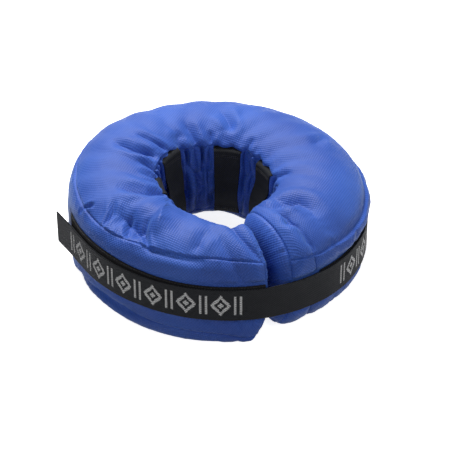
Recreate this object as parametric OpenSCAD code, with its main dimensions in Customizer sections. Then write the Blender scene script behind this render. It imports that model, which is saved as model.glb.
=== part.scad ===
// Soft inflatable recovery collar for a dog or cat.
// A C-shaped air bladder sits in a sewn fabric cover. The two ends meet at the front (-Y) and a
// webbing strap with a hook-and-loop fastening holds them together. The collar bends open about
// the middle of its back (+Y). Origin: on the axis of the neck opening, on the surface it lies on.

/* [Ring] */
// Diameter across the straight part of the outer wall
ring_d = 310; // [290:1:330]
// Diameter of the neck opening at its narrowest
neck_d = 126; // [118:1:130]
// Overall height at the crown of the top panel
ring_h = 108; // [98:1:110]
// Height of the seam round the outer top edge
top_seam_z = 86; // [80:1:90]
// Height of the seam round the rim of the neck opening
rim_seam_z = 90; // [84:1:92]

/* [Fabric] */
// Thickness of the cover cloth with its lining
cover_t = 1.2; // [0.8:0.1:1.6]
// Thickness of the bladder film
bladder_t = 0.8; // [0.5:0.1:1.2]
// Slack between the cover and the bladder
bladder_slack = 0.4; // [0.2:0.1:0.8]

/* [Closure strap] */
// Width of the closure webbing
strap_w = 38; // [32:1:40]
// Thickness of the closure webbing
strap_t = 1.6; // [1.2:0.1:1.8]
// Height of the strap's middle, at the front
strap_z = 45; // [40:1:48]
// Slope of the strap, which runs higher on the left of the ring
strap_slope = 3.5; // [0:0.5:4]
// Length of the loose tail past the point where it leaves the wall
tail_len = 54; // [40:1:60]

/* [Neck loops] */
// Width of each neck loop, as an angle round the neck opening
loop_angle = 29; // [24:1:32]
// Thickness of the neck loop webbing
loop_t = 1.4; // [1:0.1:1.6]
// How far each loop bows into the opening, away from the neck wall
loop_bow = 11; // [9:0.5:12]

/* [Valve] */
// Place of the inflation valve round the ring
valve_az = 125; // [115:1:150]
// Height of the valve's centre
valve_z = 46; // [40:1:52]

/* [Zip] */
// First end of the zip, as an angle round the ring
zip_from = 14; // [12:1:20]
// Last end of the zip, as an angle round the ring
zip_to = 84; // [70:1:85]
// Height of the zip's centre line
zip_z = 24; // [22:1:28]

/* [Hidden] */
$fn = 96;

blue = [0.16, 0.25, 0.66];
black = [0.06, 0.06, 0.07];
clear_film = [0.75, 0.82, 0.88];
rubber = [0.85, 0.87, 0.9];
metal = [0.3, 0.3, 0.32];

ring_r = ring_d / 2;
neck_r = neck_d / 2;
seam_in = 4;         // the outer seams lie this far inside the outer wall
rim_in = 2;          // the neck wall bulges this far past its own seams
bottom_seam_z = 5;   // outer bottom seam
floor_seam_z = 11;   // neck wall's bottom seam
flat_from = neck_r + 14;
flat_to = ring_r - 12;
shoulder = 20;       // the outer wall starts to lean in this far below its top seam
wall_top = top_seam_z - shoulder;
wall_foot = 13;      // and this far above the surface the collar lies on
lean_sag = 1.2;      // bulge of the wall above its upright part, and of the bottom's outer edge
foot_sag = 1;        // bulge of the wall below it
floor_sag = 2.4;     // bulge of the bottom panel towards the neck opening

back_gap = 0.15;     // half the opening between the halves at the back, in degrees
end_gap = 0.35;      // half the opening between the two ends, in degrees
end_panel_a = 0.6;   // thickness of an end panel, in degrees
fit = 0.1;           // clearance between pieces that are sewn or welded together
run = 0.3;           // clearance between pieces that move past each other
past = 1;            // how far a cut runs past the solid it cuts, in mm or in degrees

// ---- the tube's cross-section, in the plane of radius and height ----

// Points along an arc from p to q, in n steps, that bulges to the right of its direction by sag.
function arc(p, q, sag, n) =
    let (
        d = q - p,
        c = norm(d),
        out = [d.y, -d.x] / c,
        rho = (c * c / 4 + sag * sag) / (2 * sag),
        centre = (p + q) / 2 + out * (sag - rho),
        turn = 2 * asin(c / 2 / rho),
        start = atan2(p.y - centre.y, p.x - centre.x)
    )
    [for (i = [0:n]) centre + rho * [cos(start + turn * i / n), sin(start + turn * i / n)]];

function without_last(path) = [for (i = [0:len(path) - 2]) path[i]];
function backwards(path) = [for (i = [len(path) - 1:-1:0]) path[i]];

bottom_seam = [ring_r - seam_in, bottom_seam_z];
top_seam = [ring_r - seam_in, top_seam_z];
rim_seam = [neck_r + rim_in, rim_seam_z];
floor_seam = [neck_r + rim_in, floor_seam_z];

wall_path = concat(
    without_last(arc(bottom_seam, [ring_r, wall_foot], foot_sag, 3)),
    without_last([[ring_r, wall_foot], [ring_r, wall_top]]),
    arc([ring_r, wall_top], top_seam, lean_sag, 4));
top_path = arc(top_seam, rim_seam, ring_h - (top_seam_z + rim_seam_z) / 2, 12);
neck_path = arc(rim_seam, floor_seam, rim_in, 6);
bottom_path = concat(
    without_last(arc(floor_seam, [flat_from, 0], floor_sag, 4)),
    without_last([[flat_from, 0], [flat_to, 0]]),
    arc([flat_to, 0], bottom_seam, lean_sag, 3));

outline = concat(without_last(wall_path), without_last(top_path),
                 without_last(neck_path), without_last(bottom_path));
points = len(outline);
wall_start = 0;
top_start = wall_start + len(wall_path) - 1;
neck_start = top_start + len(top_path) - 1;
bottom_start = neck_start + len(neck_path) - 1;

function edge_normal(p, q) = [p.y - q.y, q.x - p.x] / norm(q - p);
function mitre(a, b) = (a + b) / (1 + a * b);

// The closed outline moved inwards by d.
function inset(d) =
    [for (i = [0:points - 1])
        let (
            before = edge_normal(outline[(i + points - 1) % points], outline[i]),
            after = edge_normal(outline[i], outline[(i + 1) % points])
        )
        outline[i] + d * mitre(before, after)];

cover_inside = inset(cover_t);

// One panel of the cover in cross-section: the outline between two seams, cover_t thick.
function panel_section(first, last) = concat(
    [for (i = [first:last]) outline[i % points]],
    [for (i = [last:-1:first]) cover_inside[i % points]]);

// An open path given thickness t on its right-hand side.
function ribbon(path, t) =
    let (
        n = len(path) - 1,
        side = [for (i = [0:n])
            let (
                before = edge_normal(path[max(i - 1, 0)], path[max(i, 1)]),
                after = edge_normal(path[min(i, n - 1)], path[min(i + 1, n)])
            )
            path[i] - t * mitre(before, after)]
    )
    concat(path, backwards(side));

// ---- placing ----

module sector(from, to) rotate([0, 0, from]) rotate_extrude(angle = to - from) children();

// A sector of the left half of the cover, from the back to the end panel.
left_from = 90 + back_gap;
left_to = 270 - end_gap - end_panel_a;
module left_half() sector(left_from, left_to) children();
module mirrored() mirror([1, 0, 0]) children();

// A flat band round the ring: from one radius to another, between two heights.
module band(from, to, r_in, r_out, z_low, z_high)
    sector(from, to) translate([r_in, z_low]) square([r_out - r_in, z_high - z_low]);

// Children drawn with +Z pointing out of the ring at the valve, and +X pointing down.
module at_valve() rotate([0, 0, valve_az]) translate([ring_r, 0, valve_z]) rotate([0, 90, 0]) children();

// ---- cover ----

module top_panel() left_half() polygon(panel_section(top_start, neck_start));
module outer_wall() left_half() polygon(panel_section(wall_start, top_start));
module neck_wall() left_half() polygon(panel_section(neck_start, bottom_start));
module bottom_panel() left_half() polygon(panel_section(bottom_start, points));
module end_panel() sector(left_to, left_to + end_panel_a) polygon(outline);

module left_top_panel() color(blue) top_panel();
module left_neck_wall() color(blue) neck_wall();
module left_bottom_panel() color(blue) bottom_panel();
module left_end_panel() color(blue) end_panel();
module right_top_panel() color(blue) mirrored() top_panel();
module right_neck_wall() color(blue) mirrored() neck_wall();
module right_bottom_panel() color(blue) mirrored() bottom_panel();
module right_end_panel() color(blue) mirrored() end_panel();

port_r = 12;         // hole in the wall for the valve
port_reach = 6;      // the hole is cut this far to both sides of the wall's outside
module wall_hole(r) at_valve() cylinder(r = r, h = 2 * port_reach, center = true);

module left_outer_wall() color(blue) difference() {
    outer_wall();
    wall_hole(port_r);
}

slit_h = 5;          // height of the slit in the wall behind the zip
slit_end = 2;        // the slit stops this many degrees before the zip's ends
slit_reach = 3;      // and is cut this far to both sides of the wall's outside
module right_outer_wall() color(blue) difference() {
    mirrored() outer_wall();
    band(zip_from + slit_end, zip_to - slit_end, ring_r - slit_reach, ring_r + slit_reach,
         zip_z - slit_h / 2, zip_z + slit_h / 2);
}

// ---- bladder ----

bladder_out = inset(cover_t + bladder_slack);
bladder_in = inset(cover_t + bladder_slack + bladder_t);
cap_a = 0.5;         // thickness of the bladder's closed end, in degrees
cap_from = left_to - cap_a - fit;

module bladder_half() difference() {
    sector(left_from, cap_from + cap_a) polygon(bladder_out);
    sector(left_from - past, cap_from) polygon(bladder_in);
}

sleeve_r = 8;
module left_bladder() color(clear_film) difference() {
    bladder_half();
    wall_hole(sleeve_r + fit);
}
module right_bladder() color(clear_film) mirrored() bladder_half();

// ---- neck loops: webbing sewn to the neck wall at both ends, for the pet's own collar ----

tab = 8;             // length sewn down at each end
loops_mid = 90;      // the loops are sewn evenly about this direction
back_loop = 33;      // angle from there to each back loop
side_loop = 83;      // and to each side loop
tab_r = neck_r + rim_in - 0.5;   // radius of the sewn ends' tips
tab_lean = 1.1;      // the webbing stands this much further in where the stitches stop
seam_gap = 2;        // the tips stop this far from the cover's seams
loop_top = [tab_r, rim_seam_z - seam_gap];
loop_foot = [tab_r, floor_seam_z + seam_gap];
loop_path = concat(
    [loop_top],
    arc(loop_top - [tab_lean, tab], loop_foot - [tab_lean, -tab], loop_bow, 10),
    [loop_foot]);

module neck_loop(az) color(black)
    sector(az - loop_angle / 2, az + loop_angle / 2) polygon(ribbon(loop_path, loop_t));

module right_side_loop() neck_loop(loops_mid - side_loop);
module right_back_loop() neck_loop(loops_mid - back_loop);
module left_back_loop() neck_loop(loops_mid + back_loop);
module left_side_loop() neck_loop(loops_mid + side_loop);

// ---- closure strap ----

pad_t = 1.2;         // loop pile sewn to the left wall
hook_t = 0.8;        // hook tape under the strap's tail
pad_lift = 6;        // the pad sits this much higher than the strap
pad_from = 174;
pad_to = 266.5;
pad_r = ring_r + fit;
hook_r = pad_r + pad_t + run;
strap_r = hook_r + hook_t;
anchor_end = 8;      // the sewn end of the strap, on the right of the ring
peel_az = [-75, -112, -149];   // the strap bends about these three lines as it peels off
leave_az = -172;     // the tail leaves the wall here
slit = 0.2;          // half the opening between two lengths of strap, in degrees
hook_margin = 2;     // the hook tape is narrower than the strap by this much at each edge
hook_end = 1;        // and stops this many degrees before the last bend

// Cuts children down to a sloping band of the given width, its middle up from the strap's by lift.
module sloping(width, lift) intersection() {
    children();
    translate([0, 0, strap_z + lift]) rotate([0, strap_slope, 0])
        cube([4 * ring_r, 4 * ring_r, width], center = true);
}

module hoop(from, to, r_in, r_out) band(from, to, r_in, r_out, 0, ring_h);
module strap_length(from, to) sloping(strap_w, 0) hoop(from, to, strap_r, strap_r + strap_t);

module loop_pad() color(black) sloping(strap_w, pad_lift)
    hoop(pad_from, pad_to, pad_r, pad_r + pad_t);

// The strap's end is folded back under itself and sewn down through both layers.
fold_a = 1;
module strap_anchor() color(black) sloping(strap_w, 0) difference() {
    hoop(peel_az[0] + slit, anchor_end + fold_a, pad_r, strap_r + strap_t);
    band(peel_az[0] - past, anchor_end, pad_r + strap_t, strap_r, -past, ring_h + past);
}

module strap_front() color(black) strap_length(peel_az[1] + slit, peel_az[0] - slit);
module strap_middle() color(black) strap_length(peel_az[2] + slit, peel_az[1] - slit);
module strap_tail() color(black) sloping(strap_w, 0) union() {
    hoop(leave_az, peel_az[2] - slit, strap_r, strap_r + strap_t);
    rotate([0, 0, leave_az]) translate([strap_r, -tail_len, 0]) cube([strap_t, tail_len, ring_h]);
}
module hook_patch() color(black) sloping(strap_w - 2 * hook_margin, 0)
    hoop(leave_az, peel_az[2] - hook_end, hook_r, strap_r);

// ---- valve ----

sleeve_len = 13;
sleeve_top = -2;     // the sleeve's outer end, below the wall's outside
flange_r = sleeve_r + 5;         // welded inside the bladder's film
flange_z = -4.05;
flange_t = 1;
stem_r = sleeve_r - 1.8;
bore_r = 2.8;
mouth_r = 3.6;       // the plug's spigot sits in this wider mouth
mouth_len = 3;
lip_r = 7.8;
lip_t = 1.2;
stem_len = 15;
seat_z = -0.5;       // the lip's outer face
hinge_up = 9.4;      // the plug's hinge lies this far above the valve's axis
lug_w = 5;
lug_t = 0.8;
cap_r = 6.5;
cap_t = 1.5;
spigot_r = mouth_r - 0.2;
spigot_len = 2.4;
strip_to = 4;        // the plug's hinge strip reaches this close to the axis, under the cap

module valve_sleeve() color(rubber) at_valve() difference() {
    union() {
        translate([0, 0, -sleeve_len]) cylinder(r = sleeve_r, h = sleeve_len + sleeve_top);
        translate([0, 0, flange_z]) cylinder(r = flange_r, h = flange_t);
    }
    translate([0, 0, -sleeve_len - past]) cylinder(r = stem_r + fit, h = sleeve_len + past);
}

module valve_stem() color(rubber) at_valve() difference() {
    union() {
        translate([0, 0, -stem_len]) cylinder(r = stem_r, h = stem_len + seat_z - fit);
        translate([0, 0, seat_z - lip_t]) cylinder(r = lip_r, h = lip_t);
        translate([-hinge_up, -lug_w / 2, seat_z - lug_t]) cube([hinge_up - stem_r, lug_w, lug_t]);
    }
    translate([0, 0, -stem_len - past]) cylinder(r = bore_r, h = stem_len + 2 * past);
    translate([0, 0, seat_z - mouth_len]) cylinder(r = mouth_r, h = mouth_len + past);
}

module valve_plug() color(rubber) at_valve() union() {
    translate([0, 0, seat_z + fit]) cylinder(r = cap_r, h = cap_t);
    translate([0, 0, seat_z - spigot_len]) cylinder(r = spigot_r, h = spigot_len + 2 * fit);
    translate([-hinge_up, -lug_w / 2, seat_z + fit]) cube([hinge_up - strip_to, lug_w, lug_t]);
}

flap_r = 5.3;
flap_t = 0.6;
module check_flap() color(rubber) at_valve()
    translate([0, 0, -stem_len - fit - flap_t]) cylinder(r = flap_r, h = flap_t);

// ---- zip ----

tape_r = ring_r + fit;
tape_t = 0.5;
tape_h = 11;
tape_gap = 0.4;      // the tapes stop this far above and below the zip's centre line
coil_h = 2;          // height of one coil, so the closed chain is twice this
coil_gap = 0.05;     // half the gap between the closed coils
coil_t = 1.4;
coil_end = 1;        // the coils stop this many degrees before the tapes do
coil_r = tape_r + tape_t;
stop_a = 0.6;        // length of an end stop, in degrees
stop_inset = 0.3;
stop_over = 0.4;     // a stop stands this far proud of the coils
slider_r = coil_r + coil_t + run;
slider_az = zip_to - 5;
slider_a = 3.4;      // length of the slider, in degrees
slider_round = 2.4;  // radius of its corners
slider_reach = 3;    // the corners are cut this far to both sides of the plate's inside
plate_t = 1.2;
plate_h = 8;
flange_over = 0.2;   // the slider's flanges run this far into its plate
leg_w = 1.2;         // width of the bail's two legs
leg_out = 3.4;       // the legs' outer faces, from the slider's middle
leg_in = slider_r + plate_t / 2;
bar_len = 6;
bail_r = 0.75;
bail_out = slider_r + plate_t + 2;   // radius at which the bail's bar stands off

module zip_upper_tape() color(black)
    band(zip_from, zip_to, tape_r, tape_r + tape_t, zip_z + tape_gap, zip_z + tape_gap + tape_h);
module zip_lower_tape() color(black)
    band(zip_from, zip_to, tape_r, tape_r + tape_t, zip_z - tape_gap - tape_h, zip_z - tape_gap);
module zip_upper_coil() color(black)
    band(zip_from + coil_end, zip_to - coil_end, coil_r, coil_r + coil_t, zip_z + coil_gap, zip_z + coil_h);
module zip_lower_coil() color(black)
    band(zip_from + coil_end, zip_to - coil_end, coil_r, coil_r + coil_t, zip_z - coil_h, zip_z - coil_gap);
module zip_end_stops() color(metal)
    for (az = [zip_from + stop_inset, zip_to - stop_inset - stop_a])
        band(az, az + stop_a, coil_r, coil_r + coil_t + stop_over, zip_z - coil_h, zip_z + coil_h);

// A flat bar with rounded corners, its middle at the origin and its thickness along X.
module tablet(thick, length, height, r) rotate([0, 90, 0])
    linear_extrude(thick, center = true) offset(r = r)
        square([height - 2 * r, length - 2 * r], center = true);

module zip_slider() color(metal) {
    side = plate_h / 2;
    length = slider_r * PI * slider_a / 180;
    rotate([0, 0, slider_az]) union() {
        intersection() {
            band(-slider_a / 2, slider_a / 2, slider_r, slider_r + plate_t, zip_z - side, zip_z + side);
            translate([slider_r, 0, zip_z]) tablet(2 * slider_reach, length, plate_h, slider_round);
        }
        for (z = [zip_z - side, zip_z + side - plate_t])
            intersection() {
                band(-slider_a / 2, slider_a / 2, coil_r + run, slider_r + flange_over, z, z + plate_t);
                translate([slider_r, 0, zip_z]) tablet(2 * slider_reach, length, plate_h, slider_round);
            }
        for (y = [-leg_out, leg_out - leg_w])
            translate([leg_in, y, zip_z - bail_r])
                cube([bail_out - leg_in + bail_r, leg_w, 2 * bail_r]);
        translate([bail_out, 0, zip_z]) rotate([90, 0, 0]) cylinder(r = bail_r, h = bar_len, center = true);
    }
}

pull_len = 16;       // from the bail's bar to the pull's free end, less the tip's overhang
pull_t = 1.2;
pull_w = 6;
pull_round = 2.6;    // radius of the pull's corners
pull_top = 3.4;      // the wide part starts this far below the bar
eye_r = 1.7;
eye_w = 3.2;
eye_hole = bail_r + 0.08;
neck_to = 4;         // the narrow part under the eye reaches this far below the bar
neck_from = 0.6;
cord_hole = 1.5;
cord_up = 2;         // the cord hole lies this far above the pull's foot
module zip_pull() color(metal)
    rotate([0, 0, slider_az]) translate([bail_out, 0, zip_z]) difference() {
        union() {
            rotate([90, 0, 0]) cylinder(r = eye_r, h = eye_w, center = true);
            translate([-pull_t / 2, -eye_w / 2, -neck_to]) cube([pull_t, eye_w, neck_to - neck_from]);
            translate([0, 0, -(pull_len + past + pull_top) / 2])
                tablet(pull_t, pull_w, pull_len + past - pull_top, pull_round);
        }
        rotate([90, 0, 0]) cylinder(r = eye_hole, h = 2 * pull_w, center = true);
        translate([0, 0, -pull_len + cord_up]) rotate([0, 90, 0]) cylinder(r = cord_hole, h = 4 * pull_t, center = true);
    }

left_top_panel();
left_outer_wall();
left_neck_wall();
left_bottom_panel();
left_end_panel();
right_top_panel();
right_outer_wall();
right_neck_wall();
right_bottom_panel();
right_end_panel();
left_bladder();
right_bladder();
left_back_loop();
left_side_loop();
right_back_loop();
right_side_loop();
loop_pad();
strap_anchor();
strap_front();
strap_middle();
strap_tail();
hook_patch();
valve_sleeve();
valve_stem();
valve_plug();
check_flap();
zip_upper_tape();
zip_lower_tape();
zip_upper_coil();
zip_lower_coil();
zip_end_stops();
zip_slider();
zip_pull();
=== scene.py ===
"""Soft inflatable recovery collar: the looks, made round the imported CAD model.

The cover is one tube of cloth, cut as flat panels and blown up by a cloth simulation in this script.
It is then creased, sewn and split into the panels that the CAD model names. Lengths are in metres.
Places round the ring are given as az, degrees from +x, or as turn, degrees round from the left end.
"""
import bmesh
import bpy
import math
import numpy as np
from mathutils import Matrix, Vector


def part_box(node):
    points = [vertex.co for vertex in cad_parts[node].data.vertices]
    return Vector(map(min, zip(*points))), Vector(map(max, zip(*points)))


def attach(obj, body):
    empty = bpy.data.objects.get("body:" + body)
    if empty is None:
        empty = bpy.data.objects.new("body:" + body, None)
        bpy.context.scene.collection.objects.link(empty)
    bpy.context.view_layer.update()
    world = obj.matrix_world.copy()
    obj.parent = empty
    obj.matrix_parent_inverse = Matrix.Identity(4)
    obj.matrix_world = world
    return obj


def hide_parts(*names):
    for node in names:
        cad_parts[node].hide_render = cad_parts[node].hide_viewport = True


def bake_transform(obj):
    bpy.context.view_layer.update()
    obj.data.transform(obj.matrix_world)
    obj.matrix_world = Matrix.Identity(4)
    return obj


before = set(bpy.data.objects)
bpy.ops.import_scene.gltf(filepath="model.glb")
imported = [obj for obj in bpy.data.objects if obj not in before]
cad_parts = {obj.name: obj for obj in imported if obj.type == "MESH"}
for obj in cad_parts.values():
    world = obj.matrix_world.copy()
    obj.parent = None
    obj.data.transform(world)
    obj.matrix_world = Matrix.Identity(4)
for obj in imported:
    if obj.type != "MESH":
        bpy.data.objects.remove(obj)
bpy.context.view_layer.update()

MM = 0.001
TAU = 2 * math.pi
UP = np.array([0, 0, 1.0])


# ---------- small tools

def ease(x):
    x = np.clip(x, 0, 1)
    return x * x * (3 - 2 * x)


def window(x, low, high, soft):
    """1 between low and high, falling to 0 over soft on both sides."""
    return ease((x - low) / soft + 1) * ease((high - x) / soft + 1)


def ring_az(points):
    return np.degrees(np.arctan2(points[..., 1], points[..., 0]))


def ring_radius(points):
    return np.hypot(points[..., 0], points[..., 1])


def out_and_round(az):
    """Unit vectors at az: outwards, and round the ring."""
    a = math.radians(az)
    return np.array([math.cos(a), math.sin(a), 0]), np.array([-math.sin(a), math.cos(a), 0])


def unit(vectors):
    return vectors / (np.linalg.norm(vectors, axis=-1, keepdims=True) + 1e-12)


def distances(points):
    """Distance along a line of points to each of them."""
    return np.r_[0, np.cumsum(np.linalg.norm(np.diff(points, axis=0), axis=1))]


# ---------- places in the CAD model

def radii(node):
    r = ring_radius(np.array([v.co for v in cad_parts[node].data.vertices], float))
    return r.min(), r.max()


RING_R = radii("right_outer_wall")[1]
NECK_R = 63 * MM
PAD_IN, PAD_OUT = radii("loop_pad")
STRAP_IN, STRAP_OUT = radii("strap_front")
STRAP_T = STRAP_OUT - STRAP_IN
STRAP_W = 38 * MM
STRAP_Z = 45 * MM                     # middle of the strap, at the front
STRAP_SLOPE = math.tan(math.radians(3.5))
PAD_LIFT = 6 * MM
PAD_FROM, PAD_TO = 174.0, 266.5
ANCHOR_END = 8.0
PEEL = (-75.0, -112.0, -149.0)        # lines the strap bends about
LEAVE = -172.0                        # where the tail leaves the wall
TAIL = 54 * MM
ZIP_R, ZIP_OUT = radii("zip_upper_tape")
ZIP_FROM, ZIP_TO = 14.0, 84.0
ZIP_Z = 24 * MM
LOOP_DIRECTIONS = {"right_side_loop": 7, "right_back_loop": 57, "left_back_loop": 123, "left_side_loop": 173}
LOOP_ANGLE = 29.0
LOOP_T = 1.4 * MM
LOOP_BOW = 11 * MM                    # how far a loop stands off the neck wall
SEWN_R = PAD_IN - 0.2 * MM            # the wall lies here under what is sewn to it
VALVE = np.mean([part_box("valve_stem")[0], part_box("valve_stem")[1]], axis=0)
VALVE_OUT, VALVE_SIDE = out_and_round(ring_az(VALVE))
PORT_R = 11 * MM                      # the valve's hole in the cover
PORT_OUT = RING_R - 1.2 * MM
SPLIT_X = -5.5 * MM                   # the two ends meet a little to the left of the middle
SPLIT_GAP = 0.3 * MM                  # half the gap between them
LEAST_Z = 0.2 * MM                    # the lowest cloth


def strap_middle(x):
    return STRAP_Z - x * STRAP_SLOPE


def pad_lift(az):
    """The pad stands higher than the strap at the left, and lies almost under it at the front."""
    return PAD_LIFT - 4 * MM * ease((az - 195) / 45)


# ---------- section of the tube

def arc(p, q, sag, n):
    """Points on an arc from p to q that bulges to the right by sag."""
    p, q = np.array(p, float), np.array(q, float)
    d = q - p
    c = np.hypot(*d)
    rho = (c * c / 4 + sag * sag) / (2 * sag)
    mid = (p + q) / 2 + np.array([d[1], -d[0]]) / c * (sag - rho)
    a = math.atan2(p[1] - mid[1], p[0] - mid[0]) + 2 * math.asin(c / 2 / rho) * np.arange(n + 1) / n
    return np.c_[mid[0] + rho * np.cos(a), mid[1] + rho * np.sin(a)]


OUTER_TOP, RIM, NECK_FOOT = (0.151, 0.086), (0.065, 0.090), (0.065, 0.011)      # seams: (radius, height)


def section():
    """The closed cross-section in (radius, height), starting at the outer bottom seam."""
    start, low, high = (0.151, 0.005), (0.155, 0.016), (0.155, 0.062)
    floor_in, floor_out = (0.077, 0.0), (0.143, 0.0)
    parts = [arc(start, low, 0.0012, 6), arc(low, high, 0.0004, 8)[1:], arc(high, OUTER_TOP, 0.0022, 8)[1:],
             arc(OUTER_TOP, RIM, 0.0160, 24)[1:], arc(RIM, NECK_FOOT, 0.002, 12)[1:],
             arc(NECK_FOOT, floor_in, 0.0024, 6)[1:], arc(floor_out, start, 0.0012, 6)]
    return np.vstack(parts)


SECTION = section()
SECTION_D = distances(SECTION)


def section_at(d):
    d = np.mod(d, SECTION_D[-1])
    return np.c_[np.interp(d, SECTION_D, SECTION[:, 0]), np.interp(d, SECTION_D, SECTION[:, 1])]


# Panels round the section, from the outer bottom seam: outer wall, top, neck wall, bottom.
PANELS = ("outer_wall", "top_panel", "neck_wall", "bottom_panel")
PIECES = ("wall_cloth", "top_cloth", "neck_cloth", "bottom_cloth")
CELLS = np.array([22, 26, 20, 20])
NV = CELLS.sum()
V_SEAM = np.cumsum(CELLS) - CELLS
V = np.arange(NV)
PANEL_V = np.repeat(np.arange(4), CELLS)
SHARE_V = (V - V_SEAM[PANEL_V]) / CELLS[PANEL_V]        # share of the way across the panel
SEAM_D = [0] + [SECTION_D[np.argmin(np.hypot(*(SECTION - np.array(seam)).T))]
                for seam in (OUTER_TOP, RIM, NECK_FOOT)] + [SECTION_D[-1]]
S_V = np.concatenate([np.linspace(SEAM_D[k], SEAM_D[k + 1], CELLS[k], endpoint=False) for k in range(4)])

# ---------- where each row of the cloth starts
# The rows are the left end panel from its middle outwards, the tube, and the right end panel.
NU = 320            # cells round the ring
NC = 9              # rings in each end panel
ROWS = NC + NU + 1 + NC
TUBE = slice(NC, NC + NU + 1)
turn = np.clip((np.arange(ROWS) - NC) / NU, 0, 1) * 360
from_split = np.minimum(turn, 360 - turn)
ON_LEFT = turn < 180


def az_at(turns):
    return np.radians(270 - turns)


AZ = az_at(turn)
COS, SIN = np.cos(AZ)[:, None], np.sin(AZ)[:, None]


def along(*table):
    """A value given at a few turns, smooth between them, for each row."""
    k = np.array(table, float)
    i = np.clip(np.searchsorted(k[:, 0], turn) - 1, 0, len(k) - 2)
    s = ease((turn - k[i, 0]) / (k[i + 1, 0] - k[i, 0]))
    return (k[i, 1] * (1 - s) + k[i + 1, 1] * s)[:, None]


# How far each seam lies from its place in the section, down the outer wall or into the neck.
OUTER_SEAM = along((0, -0.004), (14, -0.011), (50, -0.012), (75, -0.007), (105, -0.006), (125, -0.002),
                   (180, 0), (270, 0.008), (310, 0.010), (325, 0.0065), (340, 0.003), (352, 0.002),
                   (360, -0.003))
RIM_SEAM = along((0, -0.002), (120, 0.001), (180, -0.004), (280, -0.004), (340, 0), (360, 0))
FLOOR_SEAM = along((0, -0.001), (30, -0.009), (50, -0.013), (78, -0.011), (100, -0.002), (360, 0))
# Each end panel's seam stands back from the split.
BACK = along((0, 0.004), (26, 0), (334, 0), (360, 0.019))
# The filled tube is a little taller at the back, and its foot, its neck opening and its rim are uneven.
RISE = along((0, 0), (50, 0.002), (100, 0.005), (145, 0.011), (180, 0.005), (230, 0.002), (290, -0.002),
             (360, -0.003))
OUT_LOW = along((0, 0.008), (25, 0.010), (45, 0.006), (75, 0), (90, -0.001), (180, 0), (270, 0.002),
                (310, 0.004), (335, 0), (350, -0.004), (360, -0.003))
NECK_LOW = along((0, 0), (50, 0.005), (85, 0.013), (125, 0.013), (160, 0.004), (200, 0.003), (235, 0.011),
                 (270, 0.014), (310, 0.005), (360, 0))
RIM_OUT = along((0, 0.024), (13, 0.023), (23, 0.014), (34, 0.007), (51, 0.002), (85, -0.004), (120, -0.002),
                (180, 0), (235, -0.002), (268, -0.004), (298, -0.001), (325, -0.004), (340, -0.006),
                (360, -0.005))
CENTRE = np.array([0.109, 0.050])     # middle of the section


def tube_start(size):
    """The cloth's points at the given share of full size, and the same points in each row's own section."""
    hats = [np.interp(V, V_SEAM[k:k + 3], [0, 1, 0]) for k in (0, 1)]
    from_floor = np.interp(V, [0, V_SEAM[1], V_SEAM[3], NV], [1, 0, 0, 1])
    s = S_V - OUTER_SEAM * hats[0] - RIM_SEAM * hats[1] - FLOOR_SEAM * from_floor
    flat = section_at(s.ravel()).reshape(ROWS, NV, 2)
    r, z = flat[..., 0], flat[..., 1]
    z += RISE * ease((z - 0.03) / 0.07)
    r += OUT_LOW * ease(1 - z / 0.03) * (r > CENTRE[0])
    r -= NECK_LOW * ease((CENTRE[0] - r) / 0.04) * window(z, 0.006, 0.03, 0.035)
    r += RIM_OUT * ease((CENTRE[0] - r) / 0.04) * ease((z - 0.015) / 0.06)
    flat = CENTRE + (flat - CENTRE) * size
    # the end panels' rings close in, and domes stand out of the ends at full size
    fade = np.ones((ROWS, 1))
    ring = np.arange(1, NC + 1)
    fade[NC - ring, 0] = fade[NC + NU + ring, 0] = 1 - ring / (NC + 0.6)
    middle = CENTRE + np.stack([np.maximum(RIM_OUT, 0) * 0.5, 0 * RIM_OUT], -1)
    flat = middle + (flat - middle) * fade[..., None]
    side = np.where(ON_LEFT, -1.0, 1.0)[:, None]
    dome = np.sqrt(1 - fade ** 2) if size == 1.0 else 0 * fade
    reach = np.where(ON_LEFT, 0.0038, 0.0185)[:, None] * dome
    near_split = ease(1 - from_split / 26)[:, None]
    slant = 1 + 0.42 * (turn > 180)[:, None] * ease((flat[..., 0] - NECK_R) / 0.09)
    x = flat[..., 0] * COS + side * (BACK * slant - reach) + SPLIT_X * near_split
    return np.stack([x, flat[..., 0] * SIN, flat[..., 1]], -1), flat


# ---------- cloth simulation
PANEL_SLACK = np.array([1.02, 1.02, 1.03, 1.01])        # cut length across each panel over its filled length
GATHER = np.array([0.985, 0.985, 1.09, 0.985])          # the same round the ring
END_SLACK = 1.04
START_SIZE = 0.955                    # the cloth starts as a slightly smaller tube
STEPS, RAMP = 150, 60                 # steps in all, and those over which the pressure comes on
PRESSURE = 2.6
KEPT_SPEED, MOST_SPEED = 0.90, 1.2 * MM
THREAD, THREAD_GIVE = 1.0, 0.75       # stiffness of the threads, and their share of it when pushed together
SLANT, SLANT_GIVE = 0.35, 0.4         # the same across the cells
BEND = 0.10                           # stiffness against bending
SEAM_BEND = 0.15                      # and its share beside a seam
HOLD = 0.12                           # pull towards the tube's overall shape, in each step
PLEATS = 0.28                         # share of the small pleats kept
STRAP_LIMIT, ZIP_LIMIT, WALL_LIMIT = 154.6 * MM, 154.9 * MM, 158.5 * MM      # radii the wall stays within
STRAP_LEAN = 0.0612                   # fall of the strap's middle from left to right, under which it does


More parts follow.
